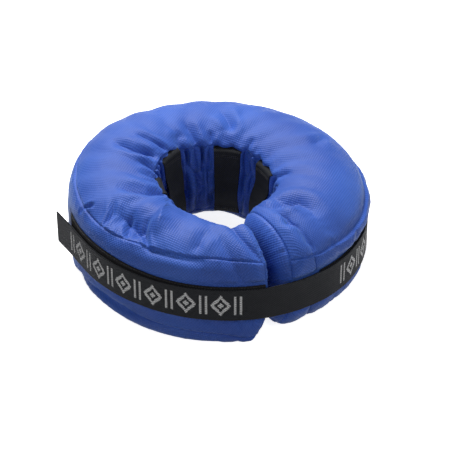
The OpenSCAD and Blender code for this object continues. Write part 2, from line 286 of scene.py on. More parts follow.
def rest_lengths():
    """Cut lengths of the cloth between neighbouring points: round the ring, round the tube."""
    _, flat = tube_start(1.0)
    step = np.roll(flat, -1, axis=1) - flat
    round_tube = np.hypot(step[..., 0], step[..., 1])
    lv = round_tube * PANEL_SLACK[PANEL_V]
    # the walls are straight strips, the top and bottom are flat rings
    out_r, in_r = RING_R - 3 * MM, NECK_R + 1 * MM
    cut = np.choose(PANEL_V, [1 + 0 * SHARE_V, out_r + (in_r - out_r) * SHARE_V, 1 + 0 * SHARE_V,
                              in_r + (out_r - in_r) * SHARE_V])
    r = np.minimum(np.minimum(flat[..., 0], RING_R + 0.5 * MM), cut + np.maximum(RIM_OUT, 0))
    rng = np.random.default_rng(11)
    t = np.arange(ROWS - 1) * TAU / NU
    slack = sum(rng.normal() * np.cos(m * t + rng.uniform(0, 6.28)) for m in range(3, 15)) / 12 ** 0.5
    lu = np.radians(360 / NU) * (r[:-1] + r[1:]) / 2 * GATHER[PANEL_V] * (1 + 0.014 * slack)[:, None]
    # end panels: flat, cut to the tube's section
    for part in (slice(0, NC), slice(NC + NU, ROWS - 1)):
        lu[part] = np.hypot(*np.moveaxis(np.diff(flat, axis=0)[part], -1, 0)) * END_SLACK
    for part in (slice(0, NC), slice(NC + NU + 1, ROWS)):
        lv[part] = round_tube[part]
    return lu, lv


def pull(a, b, rest, stiff, give=1.0):
    """How far a moves, and b moves back, towards their cut distance. give: the share when pushed together."""
    d = b - a
    n = np.sqrt((d * d).sum(-1)) + 1e-12
    e = (n - rest) / n
    e = np.where(e < 0, e * give, e) * (0.5 * stiff)
    return d * e[..., None]


def unbend(a, b, rest, share=1.0):
    """The same for points two cells apart, which only push each other away."""
    e = pull(a, b, rest, BEND) * share
    e[np.sum(e * (b - a), -1) > 0] = 0
    return e


def row_pairs(X, first, apart):
    """Rows that lie so far apart, as pairs that share no row."""
    b = X[first + apart::2 * apart]
    return X[first:first + 2 * apart * len(b):2 * apart], b


def tighten(X, lu, lv, slant, seam_bend):
    """One pass over the cloth: threads round the ring and round the tube, then its slant and bending."""
    for i in (0, 1):
        a, b = row_pairs(X, i, 1)
        d = pull(a, b, lu[i::2][:len(b)], THREAD, THREAD_GIVE)
        a += d
        b -= d
    for j in (0, 1):
        here = np.arange(j, NV, 2)
        there = (here + 1) % NV
        d = pull(X[:, here], X[:, there], lv[:, here], THREAD, THREAD_GIVE)
        X[:, here] += d
        X[:, there] -= d
    for i in (0, 1):
        a, b = row_pairs(X, i, 1)
        rest = slant[i::2][:len(b)]
        d = pull(a, np.roll(b, -1, 1), rest, SLANT, SLANT_GIVE)
        a += d
        b -= np.roll(d, 1, 1)
        d = pull(np.roll(a, -1, 1), b, rest, SLANT, SLANT_GIVE)
        a += np.roll(d, 1, 1)
        b -= d
    for i in range(4):
        a, b = row_pairs(X, i, 2)
        d = unbend(a, b, (lu[:-1] + lu[1:])[i::4][:len(b)])
        a += d
        b -= d
    for j in range(4):
        here = np.arange(j, NV, 4)
        there = (here + 2) % NV
        rest = (lv + np.roll(lv, -1, 1))[:, here]
        d = unbend(X[:, here], X[:, there], rest, seam_bend[here][:, None])
        X[:, here] += d
        X[:, there] -= d


def normals_by_area(X):
    du = np.empty_like(X)
    du[1:-1] = X[2:] - X[:-2]
    du[0], du[-1] = X[1] - X[0], X[-1] - X[-2]
    return np.cross(np.roll(X, -1, 1) - np.roll(X, 1, 1), du)


def smooth_rows(D, half=9):
    c = np.cumsum(np.concatenate([np.repeat(D[:1], half + 1, 0), D, np.repeat(D[-1:], half, 0)]), 0)
    return (c[2 * half + 1:] - c[:-2 * half - 1]) / (2 * half + 1)


def hold_shape(X, full):
    """The bladder inside gives the tube its overall shape. Narrow folds are left free."""
    D = X - full
    D = np.stack([D[..., 0] * COS + D[..., 1] * SIN, D[..., 1] * COS - D[..., 0] * SIN, D[..., 2]], -1)
    D[TUBE] = smooth_rows(D[TUBE])
    share = np.full((ROWS, 1, 1), HOLD)
    share[:NC] = share[NC + NU + 1:] = HOLD / 2
    D *= share
    X -= np.stack([D[..., 0] * COS - D[..., 1] * SIN, D[..., 0] * SIN + D[..., 1] * COS, D[..., 2]], -1)


def keep_clear(X):
    """Keeps the cloth above the table, off the split, and inside what is sewn to the wall."""
    az = np.degrees(AZ)[:, None]
    X[..., 2] = np.maximum(X[..., 2], 0.3 * MM)
    x, z = X[..., 0], X[..., 2]
    x[turn < 60] = np.minimum(x[turn < 60], SPLIT_X - SPLIT_GAP)
    x[turn > 300] = np.maximum(x[turn > 300], SPLIT_X + SPLIT_GAP)
    r = ring_radius(X)
    strapped = ((az > PAD_FROM - 3) & (az < PAD_TO)) | (az < ANCHOR_END + 1.5)
    strapped = strapped & (np.abs(z - STRAP_Z + x * STRAP_LEAN) < STRAP_W / 2 + 0.5 * MM)
    zipped = (az > ZIP_FROM - 1) & (az < ZIP_TO + 1) & (np.abs(z - ZIP_Z) < 14 * MM)
    limit = np.where(zipped, ZIP_LIMIT, np.where(strapped, STRAP_LIMIT, WALL_LIMIT))
    X[..., :2] *= np.minimum(limit / r, 1)[..., None]


def cloth():
    """The cover blown up: in every step the air pushes, and the threads pull the cloth back to its cut."""
    X, _ = tube_start(START_SIZE)
    full, _ = tube_start(1.0)
    lu, lv = rest_lengths()
    slant = np.sqrt(((lu + np.roll(lu, -1, 1)) / 2) ** 2 + ((lv[:-1] + lv[1:]) / 2) ** 2)
    seam_bend = np.ones(NV)
    seam_bend[(V_SEAM - 1) % NV] = SEAM_BEND
    # small waves, so that folds can start
    rng = np.random.default_rng(3)
    wave = np.zeros((ROWS, NV))
    u, v = np.arange(ROWS)[:, None] * TAU / NU, V * TAU / NV
    for _ in range(40):
        m, n = rng.integers(8, 70), rng.integers(0, 9)
        wave += rng.normal() * np.cos(m * u + n * v + rng.uniform(0, 6.28)) / 40 ** 0.5
    X += 0.4 * MM * wave[..., None] * np.stack([COS, SIN, 1 + 0 * COS], -1)
    speed = np.zeros_like(X)
    for k in range(STEPS):
        push = normals_by_area(X) * PRESSURE * min(1.0, (k + 1) / RAMP)
        speed = np.clip(speed * KEPT_SPEED + push, -MOST_SPEED, MOST_SPEED)
        before = X.copy()
        X = X + speed
        for _ in range(2):
            tighten(X, lu, lv, slant, seam_bend)
        hold_shape(X, full)
        keep_clear(X)
        speed = X - before
    return X


def ironed(X):
    """Takes the small regular pleats down in the panels that lie flat, and leaves the neck wall gathered."""
    body = X[TUBE]
    share = np.interp(V, [0, V_SEAM[2] - 3, V_SEAM[2] + 2, V_SEAM[3] - 2, V_SEAM[3] + 3, NV],
                      [PLEATS, PLEATS, 1, 1, PLEATS, PLEATS])
    away = ease(np.minimum(np.arange(NU + 1), np.arange(NU, -1, -1)) / 12)
    smooth = smooth_rows(smooth_rows(body, 5), 5)
    X[TUBE] = body + (smooth - body) * ((1 - share) * away[:, None])[..., None]
    return X


def lean_split(X):
    """The split leans over to the left at the foot of the wall."""
    low = ease(1 - X[..., 2] / 0.036) * ease((ring_radius(X) - 0.09) / 0.05)
    X[..., 0] -= (np.where(ON_LEFT, 12 * MM, 10 * MM) * ease(1 - from_split / 24))[:, None] * low
    return X


# ---------- grids and meshes

def curve_at(P, t, axis):
    """Points at the fractional places t along an axis, on smooth curves through P."""
    P = np.moveaxis(P, axis, 0)
    P = np.concatenate([2 * P[:1] - P[1:2], P, 2 * P[-1:] - P[-2:-1]])
    i = np.clip(np.floor(t).astype(int), 0, len(P) - 4)
    f = (t - i).reshape((-1,) + (1,) * (P.ndim - 1))
    a, b, c, d = P[i], P[i + 1], P[i + 2], P[i + 3]
    out = b + 0.5 * f * (c - a + f * (2 * a - 5 * b + 4 * c - d + f * (3 * (b - c) + d - a)))
    return np.moveaxis(out, 0, axis)


def fine_places(n):
    """Half-cell steps from 0 to n, with more of them beside both ends."""
    extra = np.array([0.3, 0.65])
    return np.unique(np.round(np.concatenate([np.arange(0, n + 0.25, 0.5), extra, n - extra]), 4))


def grid_normals(G):
    return unit(np.cross(np.gradient(G, axis=1), np.gradient(G, axis=0)))


def along_and_across(G):
    """Distances over a grid, from its first row and from its first column."""
    a, b = (np.linalg.norm(np.diff(G, axis=axis), axis=-1) for axis in (0, 1))
    return (np.concatenate([np.zeros((1, G.shape[1])), np.cumsum(a, 0)]),
            np.concatenate([np.zeros((len(G), 1)), np.cumsum(b, 1)], 1))


def mesh_object(name, points, faces, material, normals=None, weave=None):
    """weave: each point's place along and across the cloth, in metres."""
    me = bpy.data.meshes.new(name)
    me.from_pydata([tuple(p) for p in points], [], [tuple(int(i) for i in f) for f in faces])
    me.polygons.foreach_set("use_smooth", np.full(len(me.polygons), True))
    if weave is not None:
        corner = np.empty(len(me.loops), np.int32)
        me.loops.foreach_get("vertex_index", corner)
        layer = me.uv_layers.new(name="weave")
        layer.data.foreach_set("uv", weave.reshape(-1, 2)[corner].astype(np.float32).ravel())
    if normals is not None:
        me.normals_split_custom_set_from_vertices([tuple(n) for n in normals])
    me.materials.append(material)
    obj = bpy.data.objects.new(name, me)
    bpy.context.collection.objects.link(obj)
    return obj


def outward(piece):
    """Turns a closed mesh's faces to point outwards."""
    mesh = bmesh.new()
    mesh.from_mesh(piece.data)
    bmesh.ops.recalc_face_normals(mesh, faces=mesh.faces)
    mesh.to_mesh(piece.data)
    mesh.free()
    return piece


def grid_faces(rows, columns, wrap=False):
    index = np.arange(rows * columns).reshape(rows, columns)
    if wrap:
        index = np.concatenate([index, index[:, :1]], 1)
    a, b, c, d = index[:-1, :-1], index[:-1, 1:], index[1:, 1:], index[1:, :-1]
    return np.stack([a.ravel(), b.ravel(), c.ravel(), d.ravel()], 1)


def tube_faces(rows, n, first=0, caps=(True, True)):
    """Faces of a tube of rings with n points each, with a cap at its start and its end."""
    faces = [tuple(first + f) for f in grid_faces(rows, n, wrap=True)]
    ring = np.arange(n)
    if caps[0]:
        faces.append(tuple(first + ring))
    if caps[1]:
        faces.append(tuple(first + (rows - 1) * n + ring)[::-1])
    return faces


def fan(ring, hub):
    return [(a, b, hub) for a, b in zip(ring, np.roll(ring, -1))]


# ---------- cover: folds and what is sewn to it
SEAM_DEPTH = 1.5 * MM
SEAM_WIDTH = 1.1 * MM
BACK_TURN = (158.0, 202.0)            # this part of the cover bends when the collar opens
FILM_INSIDE = 17 * MM                 # the bladder film lies this far inside the cloth

# Folds in each panel: places (turn, share of the way across), half width, depth and height of the bank in mm.
# A fold comes out of a seam at its first place and fades out at its last; a fifth value 0 fades both.
FOLDS = {
    "top_panel": [
        (((56, 0.13), (67, 0.25), (79, 0.28)), 12.0, 10.0, 3.4),         # the wide dent at the left front
        (((61, 0.80), (52, 0.42), (49, 0.06)), 5.0, -4.0, 0.0),        # and the ridge beside it
        (((51, 0.02), (57, 0.22), (59, 0.46)), 2.4, 3.6, 1.5),           # creases that gather at the seam
        (((62, 0.04), (66, 0.22), (70, 0.44)), 2.4, 2.8, 1.3),
        (((74, 0.03), (76, 0.20), (83, 0.38)), 2.4, 2.6, 1.2),
        (((89, 0.01), (86, 0.13)), 2.0, 3.2, 1.0),
        (((80, 0.97), (80, 0.74), (87, 0.56), (93, 0.42)), 5.5, 4.5, 2.2),
        (((30, 0.12), (27, 0.44)), 5.0, 2.0, 1.0),
        (((116, 0.99), (119, 0.72)), 3.0, 2.6, 1.2),
        (((104, 0.98), (107, 0.74)), 3.0, 2.0, 1.0),
        (((131, 0.90), (128, 0.66), (130, 0.50), (134, 0.32)), 4.5, 4.2, 2.0),
        (((147, 0.94), (144, 0.70), (142, 0.54)), 3.2, 2.8, 1.3),
        (((165, 0.99), (167, 0.86), (173, 0.78)), 4.0, 3.0, 1.2),
        (((182, 0.97), (181, 0.82), (178, 0.60)), 4.0, 3.2, 1.5),
        (((213, 0.76), (208, 0.62), (202, 0.46)), 5.0, 3.6, 1.8),
        (((196, 0.97), (197, 0.80)), 3.0, 2.2, 1.0),
        (((232, 0.98), (234, 0.80)), 3.0, 2.0, 1.0),
        (((262, 0.30), (268, 0.52)), 5.0, 2.0, 1.0),
        (((286, 0.97), (289, 0.78)), 3.5, 2.0, 1.0),
        (((341, 0.74), (332, 0.72), (325, 0.62), (327, 0.44), (333, 0.28)), 7.0, 5.0, 2.6),   # the crescent
        (((353, 0.44), (344, 0.47)), 5.5, 2.8, 1.4),
    ],
    "outer_wall": [
        (((52, 0.98), (40, 0.955), (20, 0.965)), 2.6, 2.2, 0.0),
        (((90, 1.00), (88, 0.90)), 2.0, 2.0, 0.6),
        (((318, 0.94), (322, 0.72)), 4.0, 1.6, 0.8),
        (((108, 0.19), (90, 0.22), (72, 0.18)), 4.0, 2.0, 0.5, 0.0),
        (((300, 0.03), (310, 0.16)), 3.5, 1.6, 0.9),
        (((112, 0.01), (78, 0.03), (40, 0.01)), 2.8, 6.5, 1.2, 0.0),   # deep, along the low left seam
    ],
    "bottom_panel": [
        (((112, 0.99), (78, 0.99), (40, 0.99)), 2.8, 5.0, 0.9, 0.0),
    ],
    "neck_wall": [(((t, 0.0), (t + lean, 0.5), (t + lean / 2, 1.0)), 2.3, depth, 1.5)
                  for t, lean, depth in (
                      (14, 1, 2.5), (26, -2, 3.0), (40, 1, 2.5), (54, 2, 3.0), (68, -1, 3.0),
                      (76, 1, 2.5), (116, 1, 3.4), (123, -2, 3.0), (129, 1, 3.2), (165, 2, 3.4),
                      (172, -2, 4.0), (180, 2, 3.0), (188, -1, 4.0), (195, -2, 3.2), (231, 1, 3.2),
                      (238, 2, 4.0), (245, -1, 3.2), (281, -1, 3.0), (292, 2, 3.0), (306, 1, 2.5),
                      (320, -2, 3.0), (334, 1, 2.5), (347, -1, 2.5))],
}


def fold_shift(turns, across, radius, width, folds):
    """How far each point is pushed in by the folds: turns and across say where it is on the panel."""
    shift = np.zeros_like(across)
    for places, half, depth, bank, *first in folds:
        legs = list(zip(places[:-1], places[1:]))
        best = np.full(across.shape, 1.0)
        at = np.zeros(across.shape)
        for k, ((t0, a0), (t1, a1)) in enumerate(legs):
            px, py = np.radians(turns - t0) * radius, (across - a0) * width
            qx, qy = math.radians(t1 - t0) * radius, (a1 - a0) * width
            f = np.clip((px * qx + py * qy) / (qx * qx + qy * qy), 0, 1)
            d = np.hypot(px - f * qx, py - f * qy)
            at = np.where(d < best, (k + f) / len(legs), at)
            best = np.minimum(d, best)
        taper = ease(at / 0.25 + (first[0] if first else 0.55)) * ease((1 - at) / 0.45)
        h = 1.12 * half * MM * (0.75 + 0.5 * at)
        trough = np.exp(-(best / h) ** 1.25)        # a V with a sharp line at its foot
        banks = np.exp(-((best - 2.1 * h) / (1.1 * h)) ** 2)
        shift += MM * taper * (1.2 * depth * trough - bank * banks)
    return shift


def pucker(distance, position, rng):
    """Small ripples beside a seam, in metres."""
    ripple = np.zeros_like(position)
    for wave in (7.0, 9.5, 13.0, 21.0):
        ripple += rng.normal() * np.cos(TAU * position / (wave * MM) + rng.uniform(0, TAU))
    return 0.22 * MM * ripple * np.exp(-distance / (7 * MM))


def sewn_down(G):
    """Brings the wall out, or in, to what is sewn to it: the strap's pad and anchor, and the zip."""
    r, az, z = ring_radius(G), ring_az(G) % 360, G[..., 2]
    above, half = z - strap_middle(G[..., 0]), STRAP_W / 2
    on_left = window(az, PAD_FROM, PAD_TO, 2.0) * window(above, -half, half + PAD_LIFT, 4 * MM)
    round_az = (az - 180) % 360       # 0 at the left, 90 at the front, 180 at the right
    on_right = window(round_az, 93, 180 + ANCHOR_END, 2.0) * window(above, -half, half, 4 * MM)
    zipped = window(az, ZIP_FROM, ZIP_TO, 2.0) * window(z, ZIP_Z - 12 * MM, ZIP_Z + 12 * MM, 4 * MM)
    share = np.maximum(np.maximum(on_left, on_right), zipped)
    # above the strap the right of the wall swells out over it
    swell = 5 * MM * window(round_az, 125, 190, 25)
    swell *= np.sin(np.pi * np.clip((above - half - 1 * MM) / (24 * MM), 0, 1))
    outside = r > RING_R - 14 * MM
    G[..., :2] *= (np.where(outside, r + (SEWN_R - r) * share + swell, r) / r)[..., None]


def near_valve(G):
    """Distance of each point of the wall from the valve's axis, and its two parts."""
    u, w = G @ VALVE_SIDE, G[..., 2] - VALVE[2]
    return np.where(G @ VALVE_OUT < RING_R / 2, 1.0, np.hypot(u, w)), u, w


def open_port(G):
    """Presses the wall flat round the valve and draws the nearest points onto the port's edge."""
    away, u, w = near_valve(G)
    flat = ease(1 - (away - PORT_R) / (14 * MM)) * (away < 30 * MM)
    G += ((PORT_OUT - G @ VALVE_OUT) * flat)[..., None] * VALVE_OUT
    snap = np.abs(away - PORT_R) < 1.1 * MM
    scale = np.where(snap, PORT_R / np.maximum(away, 1e-6), 1.0) - 1
    G += (scale * u)[..., None] * VALVE_SIDE + (scale * w)[..., None] * UP


def panel_grids(X):
    """The four panels of the tube as fine grids, with each grid's turns and distances across."""
    rows = fine_places(NU)
    turns = rows / NU * 360
    rng = np.random.default_rng(5)
    grids = {}
    for panel, first, cells in zip(PANELS, V_SEAM, CELLS):
        across = fine_places(cells)
        G = curve_at(curve_at(X[TUBE][:, np.arange(first, first + cells + 1) % NV], rows, 0), across, 1)
        su, sv = along_and_across(G)
        share = np.tile(across / cells, (len(rows), 1))
        shift = fold_shift(turns[:, None], share, ring_radius(G), sv[:, -1].mean(), FOLDS[panel])
        to_side = np.minimum(sv, sv[:, -1:] - sv)
        near = np.minimum(to_side, np.minimum(su, su[-1:] - su))
        shift += SEAM_DEPTH * np.exp(-(near / SEAM_WIDTH) ** 2)
        shift -= ease(near / (3 * MM)) * pucker(to_side, su, rng)
        G = G - grid_normals(G) * shift[..., None]
        if panel == "outer_wall":
            sewn_down(G)
            open_port(G)
        G[..., 2] = np.maximum(G[..., 2], LEAST_Z)
        grids[panel] = (G, turns, sv)
    # neighbouring panels meet in one line
    for k, panel in enumerate(PANELS):
        G, H = grids[panel][0], grids[PANELS[(k + 1) % 4]][0]
        G[:, -1] = H[:, 0] = (G[:, -1] + H[:, 0]) / 2
    return grids


def lengths_of_ring(turns):
    """The left, back and right lengths: first and last row of each."""
    a, b = np.searchsorted(turns, BACK_TURN)
    return ("left", 0, a), ("back", a, b), ("right", b, len(turns) - 1)


def settle(piece, slot, body, *nodes):
    """Puts a piece under its body's empty and hides the CAD parts it stands for; the back's pieces stay in
    world space. slot is not used.
    """
    if body == "back":
        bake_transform(piece)
        return
    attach(piece, body)
    if nodes:
        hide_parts(*nodes)


def cut_sheet(G):
    """Works out the lengths of a cover panel's cells along and across; nothing is done with them."""
    a, b = (np.linalg.norm(np.diff(G, axis=i), axis=-1) for i in (0, 1))


def cover(grids, blue):
    for panel, short in zip(PANELS, PIECES):
        G, turns, sv = grids[panel]
        N = grid_normals(G)
        if panel in ("top_panel", "bottom_panel"):
            flat_r = NECK_R + (sv[:, -1:] - sv if panel == "top_panel" else sv)
            az = az_at(turns)[:, None]
            weave = np.stack([flat_r * np.cos(az), flat_r * np.sin(az)], -1)
        else:
            r = RING_R if panel == "outer_wall" else NECK_R
            weave = np.stack([r * np.radians(turns)[:, None] + 0 * sv, sv], -1)
        for side, first, last in lengths_of_ring(turns):
            part = slice(first, last + 1)
            points, faces = G[part].reshape(-1, 3), grid_faces(last - first + 1, G.shape[1])
            if (side, panel) == ("left", "outer_wall"):
                faces = faces[near_valve(points)[0][faces].mean(1) > PORT_R]
            used, faces = np.unique(faces.ravel(), return_inverse=True)
            piece = mesh_object(f"{side}_{short}", points[used], faces.reshape(-1, 4), blue,
                                N[part].reshape(-1, 3)[used], weave[part].reshape(-1, 2)[used])
            cut_sheet(G[part])
            settle(piece, "cover_fabric", side, f"{side}_{panel}")


def end_panels(X, grids, blue):
    """The panels that close the tube: rings that meet in the middle, edged by the tube's own seam."""
    places = np.concatenate([first + fine_places(cells)[:-1] for first, cells in zip(V_SEAM, CELLS)])
    for side, rows, edge_row, sign, seed in (("left", range(NC, -1, -1), 0, -1, 8),
                                             ("right", range(NC + NU, ROWS), -1, 1, 9)):
        rings = X[list(rows)]
        middle = rings[-1].mean(0)
        rings = curve_at(rings, fine_places(NC), 0)
        G = curve_at(np.concatenate([rings[:, -3:], rings, rings[:, :3]], 1), places + 3, 1)
        su, _ = along_and_across(G)
        ripple = pucker(su, distances(G[0]) + 0 * su, np.random.default_rng(seed))
        shift = SEAM_DEPTH * np.exp(-(su / SEAM_WIDTH) ** 2) + ease(su / (3 * MM)) * ripple
        G = G - grid_normals(G) * (sign * shift)[..., None]
        G[0] = np.concatenate([grids[panel][0][edge_row][:-1] for panel in PANELS])
        G[..., 0] = sign * np.maximum(sign * G[..., 0], sign * SPLIT_X + SPLIT_GAP)
        G[..., 2] = np.maximum(G[..., 2], LEAST_Z)
        last, n = len(G) - 1, G.shape[1]
        points = np.concatenate([G.reshape(-1, 3), [middle]])
        faces = tube_faces(len(G), n, caps=(False, False)) + fan(last * n + np.arange(n), len(points) - 1)
        faces = [face[::sign] for face in faces]
        piece = mesh_object(f"{side}_end_cloth", points, faces, blue, weave=points[:, 1:])
        settle(piece, "cover_fabric", side, f"{side}_end_panel")


def port_binding(blue):
    """The rolled binding round the hole for the valve."""
    turns, bends = np.arange(72) * TAU / 72, np.arange(10) * TAU / 10
    roll = 1.1 * MM * (1 + 0.06 * np.cos(turns * 17) + 0.05 * np.cos(turns * 11 + 1))[:, None]
    out = np.cos(turns)[:, None] * VALVE_SIDE + np.sin(turns)[:, None] * UP
    reach = PORT_R - 0.1 * MM + roll * np.cos(bends)
    rise = PORT_OUT - 0.1 * MM + roll * np.sin(bends)
    G = UP * VALVE[2] + reach[..., None] * out[:, None] + rise[..., None] * VALVE_OUT
    weave = np.stack(np.broadcast_arrays((turns * PORT_R)[:, None], bends * 1.1 * MM), -1)
    faces = grid_faces(73, 10, wrap=True) % 720
    piece = outward(mesh_object("port_binding", G.reshape(-1, 3), faces, blue, weave=weave))
    settle(piece, "cover_fabric", "left")


def bladder(X, film):
    """The air bladder: a smooth tube that stays inside the cloth everywhere."""
    d = X - np.stack([CENTRE[0] * COS, CENTRE[0] * SIN, CENTRE[1] + 0 * COS], -1)
    size = np.linalg.norm(d, axis=-1)
    least = size
    for i in range(-3, 4):
        for j in range(-3, 4):
            least = np.minimum(least, np.roll(size[np.clip(np.arange(ROWS) + i, 0, ROWS - 1)], j, 1))
    inside = np.clip((least - FILM_INSIDE) / size, 0.02, 1)
    rows = slice(NC + 5, NC + NU - 4, 2)
    tube = (X - d * (1 - inside[..., None]))[rows, ::2]
    for _ in range(3):
        tube[1:-1] = (tube[:-2] + 2 * tube[1:-1] + tube[2:]) / 4
        tube = (np.roll(tube, 1, 1) + 2 * tube + np.roll(tube, -1, 1)) / 4
    N = grid_normals(np.concatenate([tube[:, -1:], tube, tube[:, :1]], 1))[:, 1:-1]
    n = tube.shape[1]
    for side, first, last in lengths_of_ring(turn[rows]):
        part = slice(first, last + 1)
        points, normals = tube[part].reshape(-1, 3), N[part].reshape(-1, 3)
        faces = tube_faces(last - first + 1, n, caps=(False, False))
        if side != "back":
            row, sign = (0, 1) if side == "left" else (last - first, -1)
            faces += [f[::sign] for f in fan(row * n + np.arange(n), len(points))]
            points = np.concatenate([points, [tube[part][row].mean(0)]])
            normals = np.concatenate([normals, [[float(sign), 0, 0]]])
        piece = mesh_object(f"{side}_bladder_film", points, faces, film, normals)
        settle(piece, "bladder_film", side, f"{side}_bladder")


# ---------- webbing, pile and thread

def ribbon_section(width, thick, columns):
    """A flat band's closed cross-section with round edges: (across, out) pairs."""
    half, t = width / 2 - thick / 2, thick / 2
    w = np.linspace(-half, half, columns)
    a = np.radians([60, 30, 0, -30, -60])
    flat, edge = np.c_[w, np.full(columns, t)], np.c_[half + t * np.cos(a), t * np.sin(a)]
    return np.concatenate([flat, edge, -flat, -edge])


def ribbon_mesh(place, stations, width, thick, columns, caps=(True, True), slim=0.45, rough=None):
    """A band's points, faces and places across. place(k, across, out) gives the points of station k.

    Its capped ends are thinner by slim. rough(across) is added to its outer face.
    """
    across, thickness = ribbon_section(width, thick, columns).T
    rows = []
    for k in stations:
        capped = (k == stations[0] and caps[0]) or (k == stations[-1] and caps[1])
        out = thickness * (slim if capped else 1.0)
        if rough is not None:
            out = out + np.where(thickness > 0, rough(across), 0)
        rows.append(place(k, across, out))
    return np.concatenate(rows), tube_faces(len(rows), len(across), caps=caps), across


def ribbon(name, place, lengths, width, thick, material, columns, first=0, **settings):
    """A band of webbing or pile, with the distance along it at each station from the first one on."""
    stations = range(first, first + len(lengths))
    points, faces, across = ribbon_mesh(place, stations, width, thick, columns, **settings)
    weave = np.c_[np.repeat(lengths, len(across)), np.tile(across, len(lengths))]
    return outward(mesh_object(name, points, faces, material, weave=weave))


def wire(verts, faces, c, one, other, thick, sides):
    """Adds a round wire along the points c. The directions one and other are square to it."""
    a = (np.arange(sides) * TAU / sides)[:, None]
    ring = c[:, None] + thick * (np.cos(a) * one[:, None] + np.sin(a) * other[:, None])
    faces += tube_faces(len(c), sides, len(verts))
    verts.extend(ring.reshape(-1, 3))


def on_band(az, across, r):
    """Points of the strap or its pad at radius r: az and the distance above the strap's middle."""
    a = np.radians(az) + 0 * across
    x = r * np.cos(a)
    return np.c_[x, r * np.sin(a), strap_middle(x) + across]


def outwards(az):
    a = np.radians(az)
    return np.c_[np.cos(a), np.sin(a), 0 * a]


def strap_path():
    """The whole strap: under layer, fold at its sewn end, outer layer round the front, and the loose tail.

    Gives its points, the directions out of its face, the distances along it, and the outer layer's start.
    """
    under, over = PAD_IN + STRAP_T / 2, STRAP_IN + STRAP_T / 2
    n_under = outwards(np.arange(-70, ANCHOR_END, 1.0))
    n_over = outwards(np.arange(ANCHOR_END, LEAVE - 0.01, -1.0))
    out, way = out_and_round(ANCHOR_END)
    bend = np.radians([-60, -30, 0, 30, 60])[:, None]
    n_fold = way * np.cos(bend) + out * np.sin(bend)
    p_fold = out * (under + over) / 2 + n_fold * (over - under) / 2
    out, way = out_and_round(LEAVE)
    far, flare = np.linspace(0, 1, 37)[1:, None], 1.5 * MM
    p_tail = out * (over + flare * far ** 2) - way * TAIL * far
    n_tail = unit(out + way * (2 * flare * far / TAIL))
    p = np.concatenate([n_under * under, p_fold, n_over * over, p_tail])
    return p, np.concatenate([-n_under, n_fold, n_over, n_tail]), distances(p), len(n_under) + len(n_fold)


def strap(path, webbing):
    """Three lengths of one strap. They meet where the strap is stiff, between the lines that the CAD strap
    bends about.
    """
    p, out, s, first_over = path
    over = np.arange(len(p)) >= first_over
    az = ring_az(p)
    az = np.where(over & (az > 90), az - 360, az)
    meet = [int(np.argmax(over & (az <= (PEEL[i] + PEEL[i + 1]) / 2))) for i in (0, 1)]
    ripple = over * 0.35 * MM * (1 + np.sin(s / 0.021) * np.sin(s / 0.0083 + 1)) / 2

    def place(k, across, thick):
        return p[k] + out[k] * (thick[:, None] + ripple[k]) + UP * (strap_middle(p[k, 0]) + across)[:, None]

    ends = [0, *meet, len(p) - 1]
    lengths = (("strap_sewn_end", "right", "strap_front", ("strap_anchor",)),
               ("strap_mid_length", "strap_front", "strap_middle", ("strap_front", "strap_middle")),
               ("strap_loose_end", "strap_middle", "strap_tail", ("strap_tail",)))
    for i, (name, before, after, nodes) in enumerate(lengths):
        piece = ribbon(name, place, s[ends[i]:ends[i + 1] + 1], STRAP_W, STRAP_T, webbing, 30,
                       first=ends[i], caps=(i == 0, i == 2))
        start, end = (STRAP_OUT * out_and_round(PEEL[i] + d)[0] + STRAP_Z * UP for d in (3, -3))
        tuple(map(float, start))
        tuple(map(float, end))
        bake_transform(piece)
        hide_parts(*nodes)


def pad(pile):
    """The loop pile that the strap's hooks hold."""
    az = np.arange(PAD_FROM, PAD_TO + 0.01, 0.45)
    rng = np.random.default_rng(21)
    centre, thick = (PAD_IN + PAD_OUT) / 2, PAD_OUT - PAD_IN

    def rough(across):
        edge = np.abs(across) > STRAP_W / 2 - 2.5 * MM
        return np.where(edge, -0.25 * MM, rng.uniform(-0.1, 0.22, len(across)) * MM)

    def place(k, across, out):
        return on_band(az[k], pad_lift(az[k]) + across, centre + out)

    piece = ribbon("pile_pad", place, np.radians(az - az[0]) * centre, STRAP_W, thick, pile, 44, rough=rough)
    settle(piece, "loop_pile", "left", "loop_pad")


def hook_tape(hooks):
    """The strip of hooks under the strap's tail: a thin tape with rows of small crooked hooks."""
    r_in, r_out = radii("hook_patch")
    width, thick = STRAP_W - 4 * MM, (r_out - r_in) / 2
    centre = r_out - thick / 2
    az = np.linspace(PEEL[2] - 1, LEAVE, 44)
    points, faces, _ = ribbon_mesh(lambda k, across, out: on_band(az[k], across, centre + out),
                                   range(len(az)), width, thick, 12, slim=1.0)
    verts = list(points)
    down, along_tape = np.array([(0, 0), (0.25, 0.05), (0.38, 0.2), (0.34, 0.36)]).T[:, :, None] * MM
    for a in np.arange(PEEL[2] - 2, LEAVE + 0.8, -0.62):
        out, way = out_and_round(a)
        for h in np.arange(-width / 2 + 2 * MM, width / 2 - 1.9 * MM, 1.7 * MM):
            c = on_band(a, np.array([h]), centre - thick / 2) - out * down + way * along_tape
            wire(verts, faces, c, np.tile(way, (4, 1)), np.tile(UP, (4, 1)), 0.09 * MM, 4)
    settle(outward(mesh_object("hook_strip", verts, faces, hooks)), "hook_tape", "strap_tail", "hook_patch")


